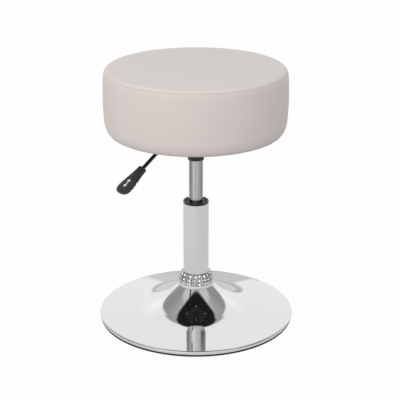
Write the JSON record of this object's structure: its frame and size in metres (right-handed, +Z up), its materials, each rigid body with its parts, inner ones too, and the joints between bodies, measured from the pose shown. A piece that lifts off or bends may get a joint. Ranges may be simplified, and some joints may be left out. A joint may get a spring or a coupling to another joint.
{
  "type": "vanity stool",
  "caption": "Round padded vanity stool on a chromed gas lift column with a crystal ring and a trumpet base; a lever lets the seat rise and fall, and it swivels freely.",
  "frame": {"origin": "on the floor, at the middle of the round base, under the column's axis", "axes": "+Z up along the column; -Y towards the camera of the picture; at rest the lever points half way between -X and -Y"},
  "size_m": [0.391, 0.391, 0.5195],
  "materials": {
    "chrome_plate": "mirror chrome plate",
    "satin_steel": "satin, drawn lengthways",
    "plain_steel": "plain zinc plate",
    "black_paint": "satin black powder coat",
    "black_plastic": "moulded, semi-gloss",
    "black_rubber": "matt moulded rubber",
    "leatherette": "pale grey grained leatherette",
    "foam": "open-cell foam",
    "plywood": "raw plywood",
    "dust_fabric": "black non-woven cloth",
    "crystal": "clear faceted stones"
  },
  "bodies": {
    "base": {"rubber_rim": "black_rubber", "base_shell": "chrome_plate", "base_weight": "black_paint", "base_socket": "black_paint", "column_tube": "chrome_plate", "guide_bush": "black_plastic", "ring_collar": "chrome_plate", "crystal_row_lower": "crystal", "crystal_row_upper": "crystal", "crystal_row_top": "crystal", "tube_end_plate": "plain_steel", "thrust_washer_lower": "plain_steel", "thrust_ball_cage": "plain_steel"},
    "rod": {"thrust_washer_upper": "plain_steel", "rubber_buffer": "black_rubber", "piston_rod": "plain_steel", "piston": "plain_steel", "piston_seal": "black_rubber", "rod_clip": "plain_steel"},
    "seat": {"gas_cylinder": "satin_steel", "rod_gland": "black_rubber", "valve_body": "plain_steel", "seat_hub": "black_paint", "lever_housing": "black_paint", "pivot_pin": "plain_steel", "pivot_spacer_1": "plain_steel", "pivot_spacer_2": "plain_steel", "seat_plate": "black_paint", "seat_board": "plywood", "dust_cover": "dust_fabric", "seat_foam": "foam", "cover_side": "leatherette", "cover_top": "leatherette", "plate_bolt_1": "plain_steel", "plate_bolt_2": "plain_steel", "plate_bolt_3": "plain_steel", "plate_bolt_4": "plain_steel", "tee_nut_1": "plain_steel", "tee_nut_2": "plain_steel", "tee_nut_3": "plain_steel", "tee_nut_4": "plain_steel"},
    "lever": {"lever_rod": "black_paint", "lever_handle": "black_plastic"},
    "release": {"release_pin": "plain_steel"}
  },
  "joints": [
    {"name": "seat_swivel", "type": "hinge", "parent": "base", "child": "rod", "pos_m": [0, 0, 0.0272], "axis": [0, 0, 1], "continuous": true},
    {"name": "seat_height", "type": "slide", "parent": "rod", "child": "seat", "axis": [0, 0, 1], "range_m": [-0.057, 0.083]},
    {"name": "lever_lift", "type": "hinge", "parent": "seat", "child": "lever", "pos_m": [-0.0297, -0.0297, 0.3758], "axis": [-0.7071, 0.7071, 0], "range_deg": [0, 6], "stiffness_Nm_per_rad": 3, "springref_deg": -6.88},
    {"name": "release_press", "type": "slide", "parent": "seat", "child": "release", "axis": [0, 0, 1], "range_m": [-0.005, 0]}
  ],
  "couplings": [
    {"joint": "release_press", "follows": "lever_lift", "m_per_rad": -0.0445}
  ]
}
